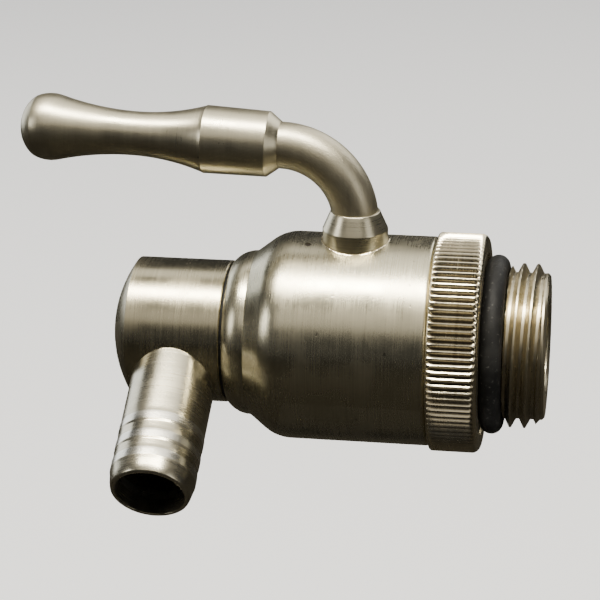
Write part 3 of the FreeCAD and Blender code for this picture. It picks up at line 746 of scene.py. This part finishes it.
def make_rod():
    """Bent rod: an upright foot, one round bend and a straight run into the grip.

    The bend is a circle: -R * (1 - cos(angle)) along the flow line and R * sin(angle) up.
    """
    bend = math.pi / 2 - GRIP_RISE
    sweep = np.linspace(math.asin((16.1 - BEND_LOW) / BEND_RADIUS), bend, 90)
    arc = np.stack([-BEND_RADIUS * (1 - np.cos(sweep)), 0 * sweep,
                    BEND_LOW + BEND_RADIUS * np.sin(sweep)], 1)
    run = arc[-1] + np.linspace(0.1, 3.0, 12)[:, None] * np.array(GRIP_AXIS)
    path = np.concatenate([arc, run])
    rod = swept_tube("bent_lever_rod", path, ROD_RADIUS)
    stand_for(rod, rod_finish, "lever_steel", "lever", "lever_rod")


def make_grip():
    """Turned grip: cone, near-cylinder with a crisp edge, two-arc waist and a rounded knob."""
    reach = GRIP_START - BEND_RADIUS * (1 - math.sin(GRIP_RISE))
    level = BEND_LOW + BEND_RADIUS * math.cos(GRIP_RISE) + reach * math.tan(GRIP_RISE)
    origin = BALL_CENTRE + Vector((-GRIP_START, 0, level)) * MM
    outline = eased(corner_list(
        (0.3, 2.0),
        (0.0, 3.0),
        (1.46, 4.13, 0.3),
        (9.5, 4.3, 0.1),
        (9.62, 4.24),
        arc_points((9.7, 4.2), (18.5, 2.8), 28.4, 1, 24),
        arc_points((18.6, 2.8), (28.2, 4.09), 36.8, 1, 24),
        arc_points((28.25, 4.1), (31.5, 3.82), 4.6, -1, 16),
        arc_points((31.5, 3.82), (33.3, 0.0), 4.25, -1, 20),
    ), ease=0.1, longest=0.5)
    grip = turned("turned_grip", outline, origin, GRIP_AXIS, 144, close=False)
    stand_for(grip, grip_finish, "grip_steel", "lever", "lever_grip")


# ---------------------------------------------------------------- head and hose tail

def make_head():
    """Domed swivel head with its spigot, open through the middle, bored for the hose tail."""
    height = 2.95
    dome = (HEAD_RADIUS ** 2 + height ** 2) / (2 * height)
    outline = eased(corner_list(
        arc_points((HEAD_TIP, 0.0), (HEAD_TIP + height - 0.03, HEAD_RADIUS - 0.06), dome, -1, 40),
        (HEAD_TIP + height + 0.04, HEAD_RADIUS),
        (-16.4, HEAD_RADIUS),
        (-16.25, HEAD_RADIUS - 0.15),
        (-16.25, SPIGOT_RADIUS),
        *groove(-15.3, -13.8, SPIGOT_RADIUS, GROOVE_FLOOR),
        *groove(-13.3, -11.8, SPIGOT_RADIUS, GROOVE_FLOOR),
        *groove(-11.3, -10.1, SPIGOT_RADIUS, 5.45),
        (-9.4, SPIGOT_RADIUS),
        (-9.1, SPIGOT_RADIUS - 0.3),
        (-9.1, FLOW_RADIUS),
        (-26.0, FLOW_RADIUS),
        (-26.0, 0.0),
    ), ease=0.05, longest=0.5)
    head = turned("domed_swivel_head", outline, BALL_CENTRE, ALONG_FLOW, 224, close=False)
    bored(head, SPOUT_ROOT, SPOUT_AXIS, HOSE_SEAT, 3.0, 12.0)
    stand_for(head, head_finish, "head_steel", "spout", "spout_head")


def make_hose_tail():
    """Angled tube with three shallow barbs and a rounded lip."""
    corners = [(5.0, HOSE_BORE), (5.0, HOSE_SEAT), (6.0, HOSE_RADIUS - 0.02), (8.0, HOSE_RADIUS)]
    for barb in range(3):
        middle = BARB_START + BARB_HALF + BARB_PITCH * barb
        corners += [(middle - 0.9, HOSE_RADIUS - 0.05, 0.6),
                    (middle - BARB_HALF, HOSE_RADIUS, 0.1),
                    (middle + BARB_HALF, HOSE_RADIUS, 0.1),
                    (middle + 0.9, HOSE_RADIUS - 0.07, 0.6)]
    corners += [(25.4, 5.12, 0.8), (26.0, 4.95, 0.4), (26.2, 4.65, 0.2), (26.1, HOSE_BORE),
                (5.0, HOSE_BORE)]
    outline = eased(corners, ease=0.06, longest=0.4)[:-1]
    tube = turned("barbed_hose_tail", outline, SPOUT_ROOT, SPOUT_AXIS, 176)
    stand_for(tube, spout_finish, "head_steel", "spout", "spout_tube")


def finish_hidden_nodes():
    """The pieces inside keep their own shapes and get their finishes."""
    for name in ("ball", "stop_pin", "retaining_ring"):
        give(frame["nodes"][name], inner_finish)
    for name in ("front_seat", "rear_seat", "spindle_thrust_washer"):
        give(frame["nodes"][name], ptfe_finish)
    for name in ("tail_seal_ring", "spindle_seal_upper", "spindle_seal_lower", "swivel_seal_front",
                 "swivel_seal_rear", "swivel_slide_washer"):
        give(frame["nodes"][name], seal_finish)


for make in (make_body, make_hole_burr, make_punch_mark, make_flange, make_thread, make_tank_seal,
             make_spindle, make_rod, make_grip, make_head, make_hose_tail, finish_hidden_nodes):
    make()


# ---------------------------------------------------------------- studio

def plain_material(name, colour, rough=0.9, shine=0.5):
    """An even, unworked finish for the studio's sheets."""
    material = bpy.data.materials.new(name)
    material.use_nodes = True
    shader = material.node_tree.nodes["Principled BSDF"]
    shader.inputs["Base Color"].default_value = (*colour, 1)
    shader.inputs["Roughness"].default_value = rough
    shader.inputs["Specular IOR Level"].default_value = shine
    return material


def panel(name, level, width, material):
    """A square, level sheet of the studio, under the piece."""
    mesh = bpy.data.meshes.new(name)
    half = width / 2
    corners = [(-half, -half, 0), (half, -half, 0), (half, half, 0), (-half, half, 0)]
    mesh.from_pydata(corners, [], [(0, 1, 2, 3)])
    sheet = bpy.data.objects.new(name, mesh)
    bpy.context.scene.collection.objects.link(sheet)
    sheet.location = (BALL_CENTRE.x, 0, level)
    mesh.materials.append(material)
    return sheet


def soft_light(name, x, y, z, size, power, colour):
    """A rectangular lamp turned to the ball's centre, its x counted from there."""
    place = (BALL_CENTRE.x + x, y, z)
    lamp = bpy.data.lights.new(name, "AREA")
    lamp.shape = "RECTANGLE"
    lamp.size, lamp.size_y = size
    lamp.energy = power
    lamp.color = colour
    holder = bpy.data.objects.new(name, lamp)
    bpy.context.scene.collection.objects.link(holder)
    holder.location = place
    holder.rotation_euler = (BALL_CENTRE - Vector(place)).to_track_quat("-Z", "Y").to_euler()


def make_camera():
    """Long lens close to the front, slightly to the right and above, a touch rolled."""
    azimuth, elevation, roll = (math.radians(angle) for angle in (9.392, 20.605, -0.606))
    distance = 0.28
    target = BALL_CENTRE + Vector((-7.189, 0, 4.739)) * MM
    back = Vector((math.sin(azimuth) * math.cos(elevation),
                   -math.cos(azimuth) * math.cos(elevation), math.sin(elevation)))
    data = bpy.data.cameras.new("camera")
    data.sensor_width = 36
    data.lens = 130.75
    data.clip_start = 0.01
    holder = bpy.data.objects.new("camera", data)
    bpy.context.scene.collection.objects.link(holder)
    holder.location = target + back * distance
    holder.rotation_euler = back.to_track_quat("Z", "Y").to_euler()
    holder.rotation_euler.rotate_axis("Z", roll)
    bpy.context.scene.camera = holder


def make_studio():
    """Pale floor that glows a little, dark card seen by reflections only, seven soft lamps."""
    floor = plain_material("pale_floor", (0.5, 0.5, 0.5))
    glow = floor.node_tree.nodes["Principled BSDF"].inputs
    glow["Emission Color"].default_value = (1, 1, 1, 1)
    glow["Emission Strength"].default_value = 0.56
    panel("floor", -0.075, 6, floor)
    shade = plain_material("dark_card", (0.012, 0.011, 0.009), 1.0, 0.0)
    card = panel("dark_card", -0.07, 5, shade)
    card.visible_camera = False
    card.visible_shadow = False
    card.visible_diffuse = False
    soft_light("key_light", -0.02, -0.105, 0.47, (0.5, 0.10), 7.8, (1.0, 0.95, 0.84))
    soft_light("top_light", 0.0, 0.16, 0.55, (0.8, 0.5), 2.0, (1.0, 0.97, 0.91))
    soft_light("front_light", 0.0, -0.42, 0.34, (0.6, 0.2), 0.29, (1.0, 0.94, 0.84))
    soft_light("side_light", -0.5, -0.25, 0.20, (0.14, 0.2), 0.5, (1.0, 0.98, 0.94))
    soft_light("right_light", 0.46, -0.26, 0.12, (0.2, 0.3), 0.35, (1.0, 0.97, 0.90))
    soft_light("rear_left_light", -0.48, 0.33, 0.07, (0.35, 0.35), 0.9, (0.92, 0.96, 1.0))
    soft_light("rear_light", 0.25, 0.42, 0.32, (0.5, 0.3), 1.3, (1.0, 0.98, 0.94))
    world = bpy.data.worlds.new("studio")
    world.use_nodes = True
    sky = world.node_tree.nodes["Background"].inputs
    sky["Color"].default_value = (0.9, 0.91, 0.93, 1)
    sky["Strength"].default_value = 0.045
    bpy.context.scene.world = world


make_camera()
make_studio()
